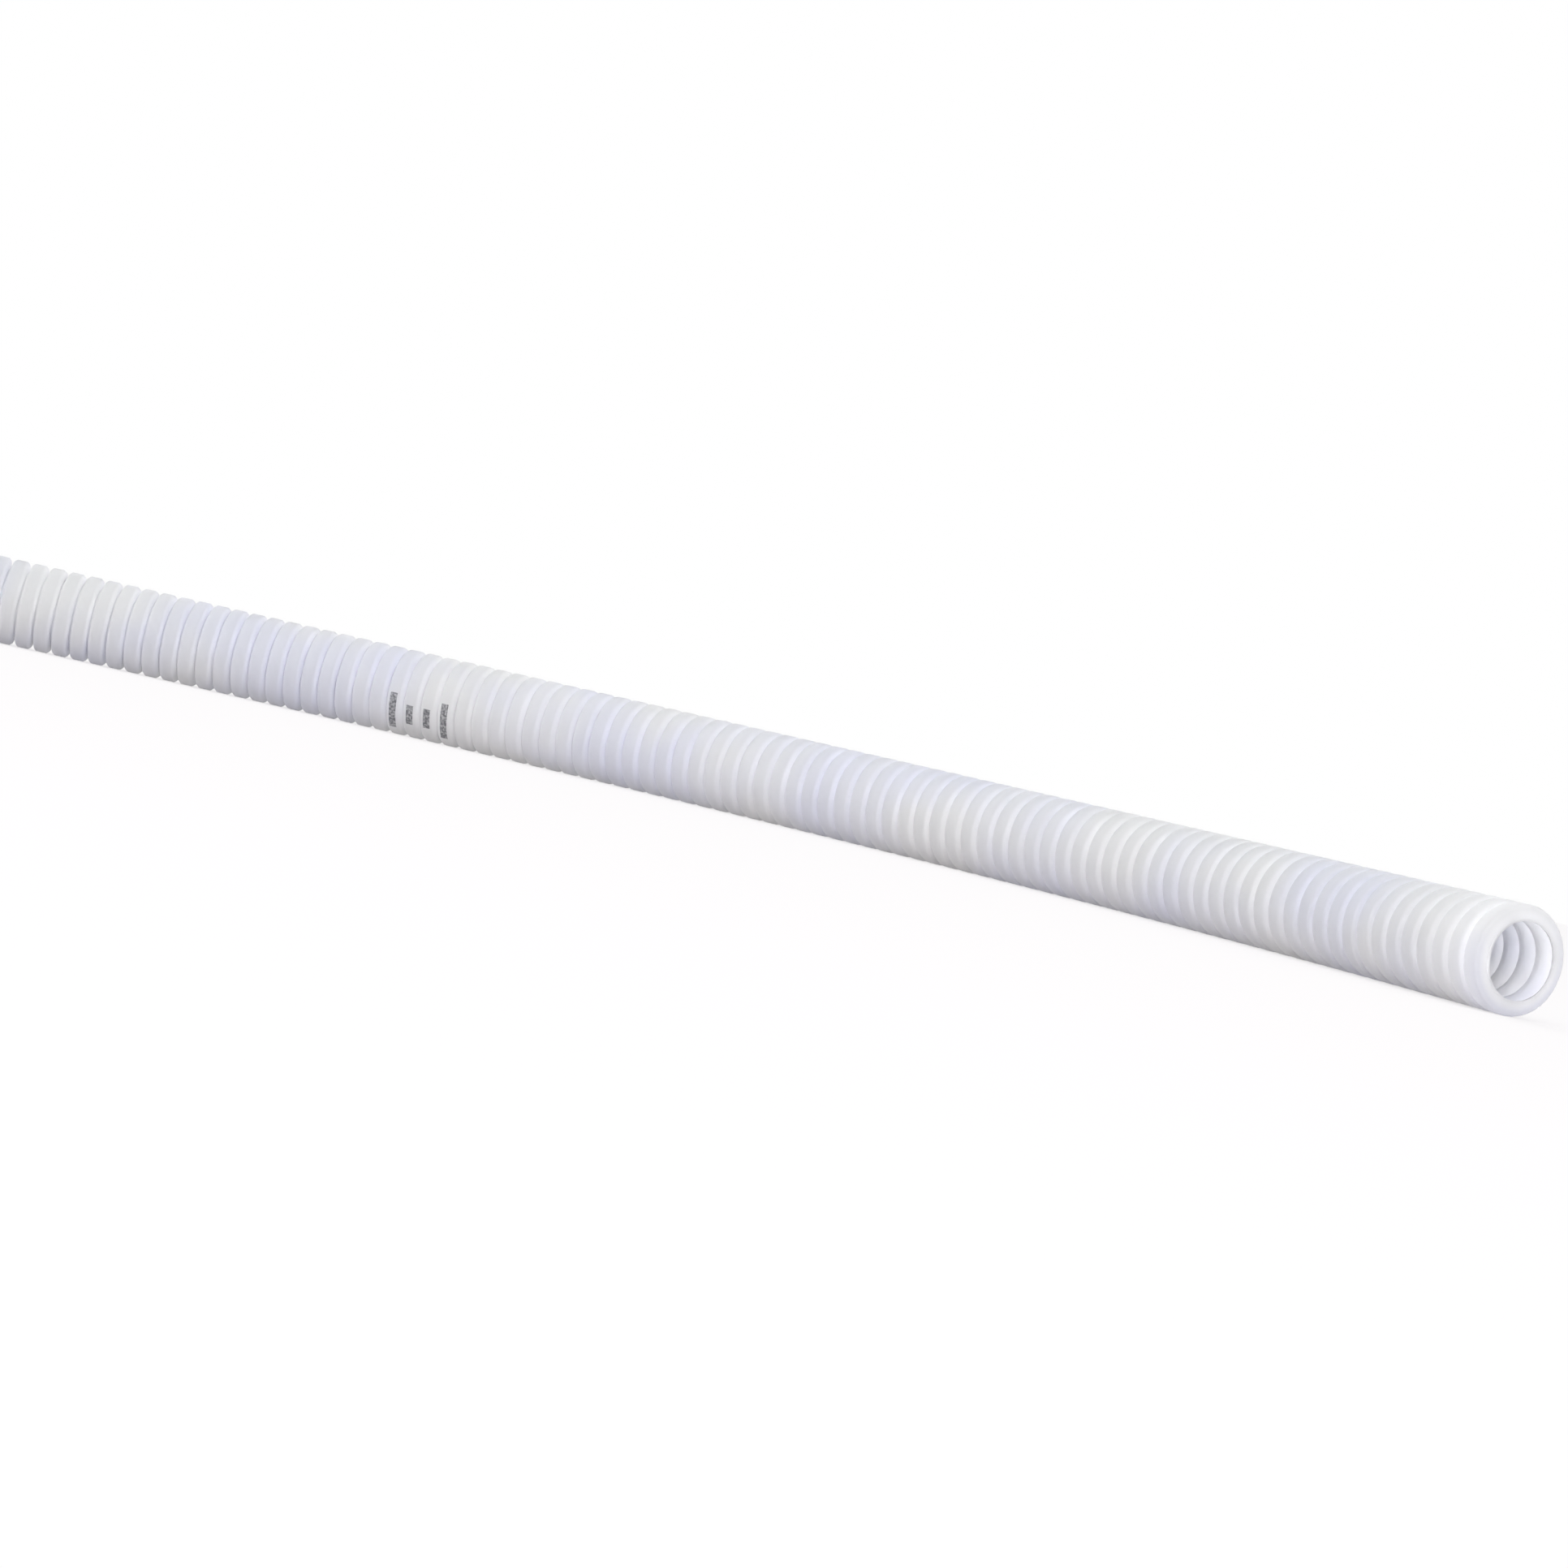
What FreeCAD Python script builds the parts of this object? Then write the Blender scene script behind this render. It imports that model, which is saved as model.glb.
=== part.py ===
import FreeCAD, Part
import math
import os

# driving sizes, in millimetres
LENGTH = 1000.0        # along the centreline, as cut off the coil
RIB_COUNT = 230        # crests along that length
LEAD_RIBS = 6          # crests in the straight stretch before the bend
BEND_RADIUS = 300.0    # of the centreline, the curve the coil leaves in the tube
BEND_ANGLE = 90.0      # degrees, after which the tube runs on straight
OUTSIDE_DIA = 20.0     # over the crests
BORE_DIA = 14.1        # clear bore, inside the valleys
WALL = 0.45            # one thickness all through the wave
CREST_SHARE = 0.70     # of a pitch, the flat top of a crest, outside
VALLEY_SHARE = 0.10    # of a pitch, the flat floor of a groove, outside

# worked out from them
PITCH = LENGTH / RIB_COUNT
LEAD = LEAD_RIBS * PITCH
BEND_TURN = math.radians(BEND_ANGLE)
BEND_END = LEAD + BEND_RADIUS * BEND_TURN
TAIL = LENGTH - BEND_END
CREST_R = OUTSIDE_DIA / 2.0
BORE_R = BORE_DIA / 2.0
VALLEY_R = BORE_R + WALL
CHANNEL_R = CREST_R - WALL

# half widths of the flats along the centreline; the inner ones keep the wall's thickness on the flanks
CREST_OUT = CREST_SHARE * PITCH / 2.0
VALLEY_OUT = VALLEY_SHARE * PITCH / 2.0
FLANK_RUN = PITCH / 2.0 - CREST_OUT - VALLEY_OUT
FLANK_SLOPE = FLANK_RUN / (CREST_R - VALLEY_R)
FLANK_SHIFT = WALL * math.sqrt(1.0 + FLANK_SLOPE * FLANK_SLOPE)
CREST_IN = CREST_OUT + WALL * FLANK_SLOPE - FLANK_SHIFT
VALLEY_IN = VALLEY_OUT - WALL * FLANK_SLOPE + FLANK_SHIFT

# the bend's centre, placed so that the origin is under the middle of the whole piece, on the floor
CENTRE_X = (TAIL - BEND_RADIUS - CREST_R) / 2.0
CENTRE_Y = (LEAD - BEND_RADIUS - CREST_R) / 2.0


def station(s):
    """Point of the centreline at s from the first end, and its turn about Z there."""
    if s <= LEAD:
        return FreeCAD.Vector(CENTRE_X + BEND_RADIUS, CENTRE_Y + s - LEAD, CREST_R), 0.0
    turn = min((s - LEAD) / BEND_RADIUS, BEND_TURN)
    run = max(s - BEND_END, 0.0)
    x = BEND_RADIUS * math.cos(turn) - run * math.sin(turn)
    y = BEND_RADIUS * math.sin(turn) + run * math.cos(turn)
    return FreeCAD.Vector(CENTRE_X + x, CENTRE_Y + y, CREST_R), turn


def ring(s, along, radius):
    """A circle square to the centreline's direction at s, moved along that direction."""
    point, turn = station(s)
    wire = Part.Wire([Part.makeCircle(radius, FreeCAD.Vector(0, along, 0), FreeCAD.Vector(0, 1, 0))])
    wire.Placement = FreeCAD.Placement(point, FreeCAD.Rotation(FreeCAD.Vector(0, 0, 1), math.degrees(turn)))
    return wire


def wave(crest_half, crest_r, valley_half, valley_r):
    """The corrugated skin through two rings at each crest and two at each valley."""
    rings = [ring(0.0, 0.0, valley_r)]
    for i in range(RIB_COUNT):
        start = i * PITCH
        rings.append(ring(start, valley_half, valley_r))
        rings.append(ring(start + PITCH / 2.0, -crest_half, crest_r))
        rings.append(ring(start + PITCH / 2.0, crest_half, crest_r))
        rings.append(ring(start + PITCH, -valley_half, valley_r))
    rings.append(ring(LENGTH, 0.0, valley_r))
    return Part.makeLoft(rings, False, True)


def cut_face(s):
    """The flat cut across the wall at one end."""
    return Part.makeFace([ring(s, 0.0, VALLEY_R), ring(s, 0.0, BORE_R)], "Part::FaceMakerBullseye")


def corrugated_tube():
    outside = wave(CREST_OUT, CREST_R, VALLEY_OUT, VALLEY_R)
    inside = wave(CREST_IN, CHANNEL_R, VALLEY_IN, BORE_R)
    shell = Part.Shell(outside.Faces + inside.Faces + [cut_face(0.0), cut_face(LENGTH)])
    shell.sewShape()
    solid = Part.Solid(shell)
    solid.fix(1e-6, 1e-6, 1e-6)
    return solid


os.makedirs("parts", exist_ok=True)
tube = corrugated_tube()
tube.exportStep("parts/corrugated_tube.step")
print("volume mm3", round(tube.Volume, 1), "valid", tube.isValid(), "faces", len(tube.Faces))
print("first end", station(0.0), "bend starts", station(LEAD), "bend ends", station(BEND_END))
print("second end", station(LENGTH), "pitch", PITCH, "inner flats", CREST_IN, VALLEY_IN)
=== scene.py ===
import math

import bpy
from mathutils import Matrix, Vector


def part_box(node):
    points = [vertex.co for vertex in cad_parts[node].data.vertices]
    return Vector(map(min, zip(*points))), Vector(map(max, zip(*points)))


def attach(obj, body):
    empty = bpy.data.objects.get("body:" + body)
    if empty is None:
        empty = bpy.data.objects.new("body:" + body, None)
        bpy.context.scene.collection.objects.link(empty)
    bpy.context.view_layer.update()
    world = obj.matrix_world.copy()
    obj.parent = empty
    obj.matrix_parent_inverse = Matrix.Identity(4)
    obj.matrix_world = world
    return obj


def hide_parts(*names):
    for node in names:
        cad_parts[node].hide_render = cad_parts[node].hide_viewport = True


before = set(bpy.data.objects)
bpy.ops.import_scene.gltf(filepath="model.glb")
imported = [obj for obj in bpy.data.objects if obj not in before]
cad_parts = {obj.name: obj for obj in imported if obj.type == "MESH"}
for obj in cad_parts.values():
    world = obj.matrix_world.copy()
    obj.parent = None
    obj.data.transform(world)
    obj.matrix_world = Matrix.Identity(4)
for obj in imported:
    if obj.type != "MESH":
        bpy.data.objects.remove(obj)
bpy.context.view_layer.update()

bl_info = {
    "name": "Corrugated Conduit",
    "version": (1, 0, 0),
    "blender": (4, 5, 0),
    "location": "3D View > Sidebar > Conduit",
    "description": "A length of pliable corrugated electrical conduit on a studio floor",
    "category": "Add Mesh",
}

MM = 0.001
NODE = "corrugated_tube"
UV_NAME = "along_and_round"
TUBE_LOW, TUBE_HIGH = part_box(NODE)

# the moulded skins stay this far inside the box of the solid, whose own rings are coarser
SKIN_INSET = 0.03 * MM
# points round a ring, and the turn of each
AROUND = 40
TURNS = [2 * math.pi * k / AROUND for k in range(AROUND)]
# ribs from each mouth that show in the bore, so that their edges are rounded in more steps
MOUTH_RIBS = 12
MOUTH_STEPS, PLAIN_STEPS = 2, 1
# how far a knife cut wanders along the tube
NICK = 0.12 * MM
# the inner skin's V is moved by whole turns, so that the ink stays on the outside
INSIDE_V = 2.0
# edges sharper than this stay crisp
CRISP_ANGLE = math.radians(60)

PATCH_SIZE = 30 * MM
GRAIN_SIZE = 0.5 * MM
GRAIN_SHARE = 0.3
RELIEF_DEPTH = 0.03 * MM
RELIEF_STRENGTH = 0.5
PARTING_FADE = 0.3 * MM
# how far from each cut end the paler colour, partly a painted rim highlight, stays full and where it has
# faded out
CUT_PALE, CUT_FADE = 0.3 * MM, 0.5 * MM
SCATTER = 5.3 * MM
INK_SPECK = 0.6 * MM
# shares: of a pitch either side of a crest's middle, and of a turn either side of the ink's middle
INK_CREST = 0.19
SHORT_TICK, LONG_TICK_MORE = 0.04, 0.035

FLOOR_HALF = 4.0
# what the camera is given of the floor's glow, over what the tube is given
FLOOR_SHOWN = 0.46
SOFT_BOX_SIZE = (2.0, 1.4)
SOFT_BOX_SPOT = (-0.5, -1.15, 0.75)
SOFT_BOX_AIM = (0.3, 0, 0)
SENSOR_WIDTH = 36.0
CLIP_NEAR, CLIP_FAR = 0.01, 50.0


class ConduitSizes(bpy.types.PropertyGroup):
    """The stock's own sizes."""

    length: bpy.props.FloatProperty(
        name="Length",
        description="Along the centreline, as cut off the coil",
        default=1000 * MM,
        unit="LENGTH",
    )
    rib_count: bpy.props.IntProperty(name="Ribs", description="Crests along the length", default=230)
    lead_ribs: bpy.props.IntProperty(
        name="Lead ribs", description="Crests in the straight stretch before the bend", default=6
    )
    bend_radius: bpy.props.FloatProperty(
        name="Bend radius", description="Of the centreline", default=300 * MM, unit="LENGTH"
    )
    bend_angle: bpy.props.FloatProperty(
        name="Bend angle",
        description="Turn between the two straight runs",
        default=math.radians(90),
        subtype="ANGLE",
    )
    outside_dia: bpy.props.FloatProperty(
        name="Outside diameter", description="Over the crests", default=20 * MM, unit="LENGTH"
    )
    bore_dia: bpy.props.FloatProperty(
        name="Bore", description="Inside the valleys", default=14.1 * MM, unit="LENGTH"
    )
    wall: bpy.props.FloatProperty(
        name="Wall", description="One thickness all through the wave", default=0.45 * MM, unit="LENGTH"
    )
    crest_share: bpy.props.FloatProperty(
        name="Crest share",
        description="Part of a pitch that the crest's top takes",
        default=0.70,
        subtype="FACTOR",
    )
    valley_share: bpy.props.FloatProperty(
        name="Valley share",
        description="Part of a pitch that the groove's floor takes",
        default=0.10,
        subtype="FACTOR",
    )
    shoulder: bpy.props.FloatProperty(
        name="Shoulder",
        description="Radius of a crest's moulded edges, outside",
        default=0.45 * MM,
        unit="LENGTH",
    )
    ridge: bpy.props.FloatProperty(
        name="Ridge",
        description="Radius of the valleys' edges, in the bore",
        default=0.35 * MM,
        unit="LENGTH",
    )


class ConduitFinish(bpy.types.PropertyGroup):
    """Colours and the place of the ink ticks."""

    plastic: bpy.props.StringProperty(
        name="Plastic", description="Hex colour of the white PVC", default="#F0F0F1"
    )
    plastic_cool: bpy.props.StringProperty(
        name="Plastic, cooler", description="Hex colour of the faint cooler patches", default="#EAEBF4"
    )
    # paler colour at the two cut ends: partly a knife's whitening, partly a painted highlight on the rim
    cut_edge_and_highlight: bpy.props.StringProperty(
        name="Cut edge", description="Hex colour where a knife cut it", default="#FBFBFD"
    )
    ink: bpy.props.StringProperty(name="Ink", description="Hex colour of the grey ink", default="#6E6E74")
    ink_rib: bpy.props.IntProperty(
        name="First inked rib", description="Counted from the bent end", default=65
    )
    ink_ribs: bpy.props.IntProperty(name="Inked ribs", description="One tick each", default=4)
    ink_low: bpy.props.FloatProperty(
        name="Ink's middle",
        description="Down from the bend's inner side",
        default=math.radians(30),
        subtype="ANGLE",
    )


class ConduitStudio(bpy.types.PropertyGroup):
    """Camera, lights and floor."""

    camera_spot: bpy.props.FloatVectorProperty(
        name="Camera",
        description="Where it stands",
        default=(0.03811, -0.57551, 0.01969),
        subtype="TRANSLATION",
    )
    camera_aim: bpy.props.FloatVectorProperty(
        name="Aim",
        description="Point in the middle of its picture",
        default=(0.32368, -0.02099, 0.010),
        subtype="TRANSLATION",
    )
    camera_roll: bpy.props.FloatProperty(
        name="Roll", description="About its own view", default=math.radians(12.857), subtype="ANGLE"
    )
    lens: bpy.props.FloatProperty(name="Lens", description="In mm on a 36 mm sensor", default=69.53)
    sky: bpy.props.FloatProperty(name="Sky", description="Strength of the even light", default=0.61)
    soft_box: bpy.props.FloatProperty(
        name="Soft box", description="Watts, from the left in front", default=4.0
    )
    table: bpy.props.FloatProperty(
        name="Table", description="Glow of the floor, as a light table has", default=0.12
    )
    sheet: bpy.props.StringProperty(
        name="Sheet", description="Hex colour of the floor's opal sheet", default="#CFCBCC"
    )


def linear(hex_colour):
    """An sRGB hex colour as linear RGBA."""
    parts = [int(hex_colour[i : i + 2], 16) / 255 for i in (1, 3, 5)]
    return [c / 12.92 if c <= 0.04045 else ((c + 0.055) / 1.055) ** 2.4 for c in parts] + [1.0]


def add_node(tree, kind, inputs=(), **settings):
    """A node with its settings and inputs, by socket name or number: a socket is linked, a value is set."""
    node = tree.nodes.new(kind)
    for name, value in settings.items():
        setattr(node, name, value)
    for key, value in dict(inputs).items():
        if isinstance(value, bpy.types.NodeSocket):
            tree.links.new(value, node.inputs[key])
        else:
            node.inputs[key].default_value = value
    return node


class Centreline:
    """Straight lead, one arc, straight run, in the frame's own metres."""

    def __init__(self, sizes):
        self.length = sizes.length
        self.pitch = sizes.length / sizes.rib_count
        self.lead = sizes.lead_ribs * self.pitch
        self.radius = sizes.bend_radius
        self.turn = sizes.bend_angle
        self.outside_dia = sizes.outside_dia
        self.bend_end = self.lead + self.radius * self.turn
        reach = sizes.bend_radius + sizes.outside_dia / 2
        self.centre = Vector((TUBE_HIGH.x - reach, TUBE_HIGH.y - reach, sizes.outside_dia / 2))

    def station(self, s):
        """Point, direction and outward side at s from the bent end."""
        if s <= self.lead:
            turn, run = 0.0, s - self.lead
        else:
            turn = min((s - self.lead) / self.radius, self.turn)
            run = max(s - self.bend_end, 0.0)
        side = Vector((math.cos(turn), math.sin(turn), 0))
        heading = Vector((-math.sin(turn), math.cos(turn), 0))
        return self.centre + side * self.radius + heading * run, heading, side


def shoulder_points(edge, top, fall, radius, steps):
    """Along-and-radius points that round a crest's edge, from its flat top to its flank."""
    slope = math.atan2(fall[1], fall[0])
    tangent = radius * math.tan(slope / 2)
    middle = (edge - tangent, top - radius)
    points = []
    for step in range(steps + 1):
        angle = math.pi / 2 - slope * step / steps
        points.append((middle[0] + radius * math.cos(angle), middle[1] + radius * math.sin(angle)))
    return points


def wave_rings(sizes, line):
    """Outer and inner rings as (s of the station, move along it, radius), from the bent end to the other."""
    crest_r = sizes.outside_dia / 2 - SKIN_INSET
    bore_r = sizes.bore_dia / 2
    valley_r = bore_r + sizes.wall
    crest = sizes.crest_share * line.pitch / 2
    valley = sizes.valley_share * line.pitch / 2
    run = line.pitch / 2 - crest - valley
    slope = run / (crest_r - valley_r)
    shift = sizes.wall * math.sqrt(1 + slope * slope)
    crest_in = crest + sizes.wall * slope - shift
    valley_in = valley - sizes.wall * slope + shift
    flank = (run, crest_r - valley_r)
    outer, inner = [], []
    for rib in range(sizes.rib_count):
        start, middle = rib * line.pitch, (rib + 0.5) * line.pitch
        # near the two mouths, where the bore shows, the edges are rounded in more steps
        mouth = min(rib, sizes.rib_count - 1 - rib) < MOUTH_RIBS
        steps = MOUTH_STEPS if mouth else PLAIN_STEPS
        far = shoulder_points(crest, crest_r, flank, sizes.shoulder, steps)
        outer.append((start, valley, valley_r))
        outer += [(middle, -along, r) for along, r in reversed(far)]
        outer += [(middle, along, r) for along, r in far]
        outer.append((start + line.pitch, -valley, valley_r))
        ridge = [(valley_in, bore_r)]
        if mouth:
            # the ridge in the bore is a shoulder turned inwards, so radii are taken as heights below zero
            turned = shoulder_points(valley_in, -bore_r, flank, sizes.ridge, MOUTH_STEPS)
            ridge = [(along, -height) for along, height in turned]
        inner += [(start, along, r) for along, r in ridge]
        inner += [(middle, -crest_in, crest_r - sizes.wall), (middle, crest_in, crest_r - sizes.wall)]
        inner += [(start + line.pitch, -along, r) for along, r in reversed(ridge)]
    return outer, inner, valley_r, bore_r


def build_tube_mesh(sizes, line):
    """The whole skin as one closed mesh, with metres along in U and turns round in V."""
    outer, inner, valley_r, bore_r = wave_rings(sizes, line)

    def cut_ring(s, inward, radius):
        """A mouth's edge, with a slow and a quick wave that stay on the tube's side of the cut."""
        waves = [1 + 0.6 * math.sin(3 * a + 1) + 0.4 * math.sin(7 * a + s) for a in TURNS]
        return [(s, inward * NICK * wave, radius) for wave in waves]

    rings = [cut_ring(0.0, 1, valley_r)]
    rings += [[ring] * AROUND for ring in outer]
    rings += [cut_ring(sizes.length, -1, valley_r), cut_ring(sizes.length, -1, bore_r)]
    rings += [[ring] * AROUND for ring in reversed(inner)]
    rings.append(cut_ring(0.0, 1, bore_r))

    vertices, u_values = [], []
    for ring in rings:
        point, heading, side = line.station(ring[0][0])
        for a, (s, along, radius) in zip(TURNS, ring):
            round_ = side * math.cos(a) + Vector((0, 0, math.sin(a)))
            vertices.append(point + heading * along + round_ * radius)
            u_values.append(s + along)
    count = len(rings)
    first_inner = len(outer) + 2
    faces, uvs = [], []
    for i in range(count):
        j = (i + 1) % count
        lift = INSIDE_V if i >= first_inner else 0.0
        for k in range(AROUND):
            n = (k + 1) % AROUND
            faces.append((i * AROUND + k, i * AROUND + n, j * AROUND + n, j * AROUND + k))
            v0, v1 = k / AROUND + lift, (k + 1) / AROUND + lift
            uvs += [(u_values[i * AROUND + k], v0), (u_values[i * AROUND + n], v1)]
            uvs += [(u_values[j * AROUND + n], v1), (u_values[j * AROUND + k], v0)]
    mesh = bpy.data.meshes.new("conduit_tube")
    mesh.from_pydata(vertices, [], faces)
    layer = mesh.uv_layers.new(name=UV_NAME)
    for loop, uv in zip(layer.data, uvs):
        loop.uv = uv
    mesh.shade_smooth()
    # the cut edges and the grooves' roots stay crisp, the rounded shoulders don't
    mesh.set_sharp_from_angle(angle=CRISP_ANGLE)
    mesh.update()
    return mesh


def white_pvc(finish, line):
    """Rigid-grade white PVC, extruded soft and drawn by vacuum into travelling moulds."""
    # moulded against cold metal: a satin skin with a soft, broad highlight, and light that spreads inside
    material = bpy.data.materials.new("white_pvc_vacuum_formed")
    material.use_nodes = True
    tree = material.node_tree
    tree.nodes.clear()
    place = add_node(tree, "ShaderNodeUVMap", uv_map=UV_NAME)
    split = add_node(tree, "ShaderNodeSeparateXYZ", {0: place.outputs["UV"]})
    along, turn = split.outputs["X"], split.outputs["Y"]
    solid = add_node(tree, "ShaderNodeTexCoord")

    # cooler patches about 30 mm long, where the melt cooled unevenly
    patches = add_node(
        tree,
        "ShaderNodeTexNoise",
        {"Vector": solid.outputs["Object"], "Scale": 1 / PATCH_SIZE, "Detail": 2.0},
    )
    cooler = add_node(tree, "ShaderNodeMapRange", {0: patches.outputs["Fac"], 1: 0.4, 2: 0.65})
    plastic = add_node(
        tree,
        "ShaderNodeMix",
        {0: cooler.outputs[0], 6: linear(finish.plastic), 7: linear(finish.plastic_cool)},
        data_type="RGBA",
    )
    # the cut edges are drawn paler for about 0.4 mm: partly a knife's whitening, partly a painted highlight
    # on the mouth's rim
    from_middle = add_node(tree, "ShaderNodeMath", {0: along, 1: line.length / 2}, operation="SUBTRACT")
    reach = add_node(tree, "ShaderNodeMath", {0: from_middle.outputs[0]}, operation="ABSOLUTE")
    edge = line.length / 2
    cut = add_node(tree, "ShaderNodeMapRange", {0: reach.outputs[0], 1: edge - CUT_FADE, 2: edge - CUT_PALE})
    body = add_node(
        tree,
        "ShaderNodeMix",
        {0: cut.outputs[0], 6: plastic.outputs[2], 7: linear(finish.cut_edge_and_highlight)},
        data_type="RGBA",
    )
    ink = ink_ticks(tree, along, turn, solid.outputs["Object"], finish, line.pitch)
    colour = add_node(
        tree,
        "ShaderNodeMix",
        {0: ink, 6: body.outputs[2], 7: linear(finish.ink)},
        data_type="RGBA",
    )

    # the mould halves leave a fine line along the top and the underside, fading over 0.3 mm either side
    quarter = add_node(tree, "ShaderNodeMath", {0: turn, 1: 0.25}, operation="SUBTRACT")
    off_line = add_node(tree, "ShaderNodeMath", {0: quarter.outputs[0], 1: 0.5}, operation="PINGPONG")
    fades_at = PARTING_FADE / (math.pi * line.outside_dia)
    parting = add_node(
        tree, "ShaderNodeMapRange", {0: off_line.outputs[0], 1: 0.0, 2: fades_at, 3: 1.0, 4: 0.0}
    )
    # the mould's fine blasted grain, drawn at 0.5 mm so that it shows
    grain = add_node(
        tree,
        "ShaderNodeTexNoise",
        {"Vector": solid.outputs["Object"], "Scale": 1 / GRAIN_SIZE, "Detail": 1.0},
    )
    relief = add_node(
        tree,
        "ShaderNodeMath",
        {0: grain.outputs["Fac"], 1: GRAIN_SHARE, 2: parting.outputs[0]},
        operation="MULTIPLY_ADD",
    )
    bump = add_node(
        tree,
        "ShaderNodeBump",
        {"Height": relief.outputs[0], "Distance": RELIEF_DEPTH, "Strength": RELIEF_STRENGTH},
    )
    surface = add_node(
        tree,
        "ShaderNodeBsdfPrincipled",
        {
            "Base Color": colour.outputs[2],
            "Normal": bump.outputs[0],
            "Roughness": 0.42,
            "IOR": 1.53,
            "Subsurface Weight": 1.0,
            "Subsurface Radius": (1.0, 1.0, 1.0),
            "Subsurface Scale": SCATTER,
        },
        # this method lifts the grooves and the bore, and brightens so thin a wave as a whole: the lights are
        # set for it, and views from far off show some speckle
        subsurface_method="BURLEY",
    )
    add_node(tree, "ShaderNodeOutputMaterial", {"Surface": surface.outputs[0]})
    return material


def ink_ticks(tree, along, turn, solid, finish, pitch):
    """A socket that is 1 under the short grey ticks printed across a few crests, and 0 elsewhere."""

    def maths(operation, *values):
        return add_node(tree, "ShaderNodeMath", dict(enumerate(values)), operation=operation).outputs[0]

    ribs = maths("DIVIDE", along, pitch)
    off_crest = maths("ABSOLUTE", maths("SUBTRACT", maths("FRACT", ribs), 0.5))
    on_crest = maths("LESS_THAN", off_crest, INK_CREST)
    half = finish.ink_ribs / 2
    off_middle = maths("ABSOLUTE", maths("SUBTRACT", ribs, finish.ink_rib + half))
    in_row = maths("LESS_THAN", off_middle, half)
    # the two outer ticks are long and the inner ones short, as on a rule
    long_tick = maths("GREATER_THAN", off_middle, half - 1)
    reach = maths("MULTIPLY_ADD", long_tick, LONG_TICK_MORE, SHORT_TICK)
    off_ink = maths("ABSOLUTE", maths("SUBTRACT", turn, 0.5 + finish.ink_low / (2 * math.pi)))
    in_tick = maths("LESS_THAN", off_ink, reach)
    # ink sprayed on a moving tube breaks up in specks of about 0.6 mm
    specks = add_node(tree, "ShaderNodeTexNoise", {"Vector": solid, "Scale": 1 / INK_SPECK, "Detail": 2.0})
    cover = add_node(tree, "ShaderNodeMapRange", {0: specks.outputs["Fac"], 1: 0.3, 2: 0.6, 3: 0.35, 4: 0.95})
    printed = maths("MULTIPLY", on_crest, in_row)
    inked = maths("MULTIPLY", in_tick, cover.outputs[0])
    return maths("MULTIPLY", printed, inked)


class CONDUIT_OT_tube(bpy.types.Operator):
    """Build the corrugated tube, in one piece, in place of its solid"""

    bl_idname = "conduit.tube"
    bl_label = "Corrugated Tube"

    def execute(self, context):
        sizes, finish = context.scene.conduit_sizes, context.scene.conduit_finish
        line = Centreline(sizes)
        tube = bpy.data.objects.new("conduit_tube", build_tube_mesh(sizes, line))
        context.scene.collection.objects.link(tube)
        tube.data.materials.append(white_pvc(finish, line))
        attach(tube, "root")
        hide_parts(NODE)
        return {"FINISHED"}


def camera_ray(tree):
    """A socket that is 1 for what the camera sees, straight or by gloss or glass, and 0 for the rest."""
    path = add_node(tree, "ShaderNodeLightPath").outputs
    seen = path["Is Camera Ray"]
    for ray in ("Is Glossy Ray", "Is Transmission Ray"):
        seen = add_node(tree, "ShaderNodeMath", {0: seen, 1: path[ray]}, operation="MAXIMUM").outputs[0]
    return seen


def white_floor(studio):
    """Opal acrylic of a light table: it throws light up under the tube and keeps its shadow."""
    material = bpy.data.materials.new("opal_acrylic_sheet")
    material.use_nodes = True
    tree = material.node_tree
    tree.nodes.clear()
    sheet = add_node(tree, "ShaderNodeBsdfDiffuse", {"Color": linear(studio.sheet)})
    # the camera is given more of the glow than the tube is, so that the sheet reads as plain white
    strength = add_node(
        tree,
        "ShaderNodeMath",
        {0: camera_ray(tree), 1: FLOOR_SHOWN, 2: studio.table},
        operation="MULTIPLY_ADD",
    )
    glow = add_node(tree, "ShaderNodeEmission", {"Color": (1, 1, 1, 1), "Strength": strength.outputs[0]})
    both = add_node(tree, "ShaderNodeAddShader", {0: sheet.outputs[0], 1: glow.outputs[0]})
    add_node(tree, "ShaderNodeOutputMaterial", {"Surface": both.outputs[0]})
    return material


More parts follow.
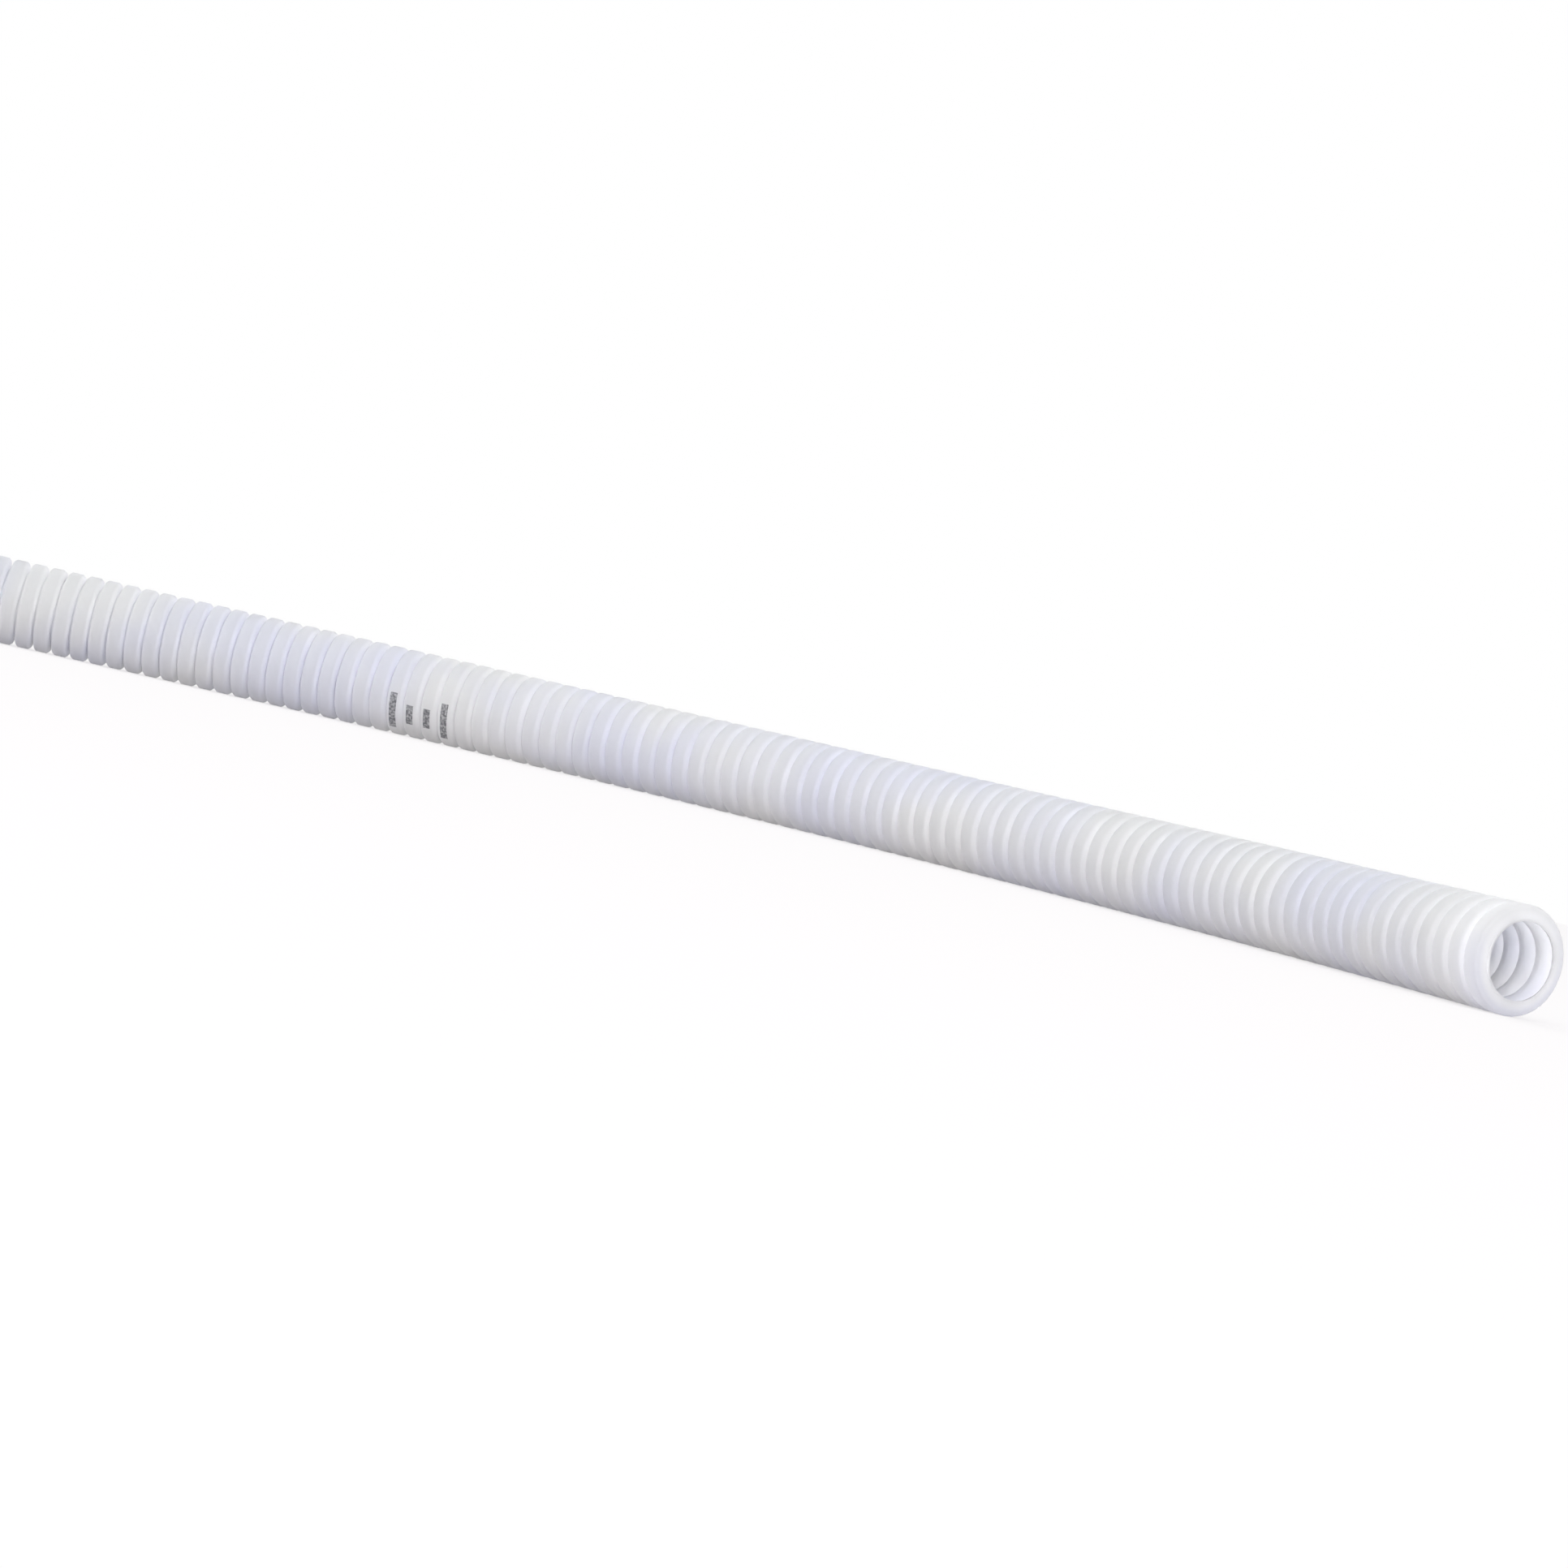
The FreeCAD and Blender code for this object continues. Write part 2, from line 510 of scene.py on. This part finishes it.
class CONDUIT_OT_studio(bpy.types.Operator):
    """Lay the white floor and set the lights and the camera"""

    bl_idname = "conduit.studio"
    bl_label = "Studio"

    def execute(self, context):
        scene, studio = context.scene, context.scene.conduit_studio
        corners = [(x * FLOOR_HALF, y * FLOOR_HALF, 0) for x, y in ((-1, -1), (1, -1), (1, 1), (-1, 1))]
        mesh = bpy.data.meshes.new("studio_floor")
        mesh.from_pydata(corners, [], [(0, 1, 2, 3)])
        floor = bpy.data.objects.new("studio_floor", mesh)
        mesh.materials.append(white_floor(studio))
        scene.collection.objects.link(floor)

        world = bpy.data.worlds.new("studio_sky")
        scene.world = world
        world.use_nodes = True
        tree = world.node_tree
        tree.nodes.clear()
        # a touch of blue, as open shade has
        even = add_node(
            tree, "ShaderNodeBackground", {"Color": (0.98, 0.992, 1.0, 1), "Strength": studio.sky}
        )
        white = add_node(tree, "ShaderNodeBackground", {"Color": (1, 1, 1, 1), "Strength": 1.0})
        mix = add_node(
            tree, "ShaderNodeMixShader", {0: camera_ray(tree), 1: even.outputs[0], 2: white.outputs[0]}
        )
        add_node(tree, "ShaderNodeOutputWorld", {"Surface": mix.outputs[0]})

        lamp = bpy.data.lights.new("soft_box", "AREA")
        lamp.shape = "RECTANGLE"
        lamp.size, lamp.size_y = SOFT_BOX_SIZE
        lamp.energy = studio.soft_box
        light = bpy.data.objects.new("soft_box", lamp)
        light.location = SOFT_BOX_SPOT
        throw = Vector(SOFT_BOX_AIM) - light.location
        light.rotation_euler = throw.to_track_quat("-Z", "Y").to_euler()
        scene.collection.objects.link(light)

        view = bpy.data.cameras.new("photo_camera")
        view.lens = studio.lens
        view.sensor_width = SENSOR_WIDTH
        view.clip_start = CLIP_NEAR
        view.clip_end = CLIP_FAR
        camera = bpy.data.objects.new("photo_camera", view)
        spot = Vector(studio.camera_spot)
        sight = Vector(studio.camera_aim) - spot
        turn = sight.to_track_quat("-Z", "Y").to_matrix().to_4x4()
        camera.matrix_world = Matrix.Translation(spot) @ turn @ Matrix.Rotation(studio.camera_roll, 4, "Z")
        scene.collection.objects.link(camera)
        scene.camera = camera
        scene.view_settings.view_transform = "Standard"
        return {"FINISHED"}


class VIEW3D_PT_conduit(bpy.types.Panel):
    """The conduit's pieces and sizes"""

    bl_label = "Conduit"
    bl_space_type = "VIEW_3D"
    bl_region_type = "UI"
    bl_category = "Conduit"

    def draw(self, context):
        scene = context.scene
        for group in (scene.conduit_sizes, scene.conduit_finish, scene.conduit_studio):
            for name in group.__annotations__:
                self.layout.prop(group, name)
        self.layout.operator(CONDUIT_OT_tube.bl_idname)
        self.layout.operator(CONDUIT_OT_studio.bl_idname)


CLASSES = (
    ConduitSizes,
    ConduitFinish,
    ConduitStudio,
    CONDUIT_OT_tube,
    CONDUIT_OT_studio,
    VIEW3D_PT_conduit,
)


def register():
    for cls in CLASSES:
        bpy.utils.register_class(cls)
    bpy.types.Scene.conduit_sizes = bpy.props.PointerProperty(type=ConduitSizes)
    bpy.types.Scene.conduit_finish = bpy.props.PointerProperty(type=ConduitFinish)
    bpy.types.Scene.conduit_studio = bpy.props.PointerProperty(type=ConduitStudio)


def unregister():
    del bpy.types.Scene.conduit_sizes
    del bpy.types.Scene.conduit_finish
    del bpy.types.Scene.conduit_studio
    for cls in reversed(CLASSES):
        bpy.utils.unregister_class(cls)


def main():
    register()
    bpy.ops.conduit.tube()
    bpy.ops.conduit.studio()


if __name__ == "__main__":
    main()
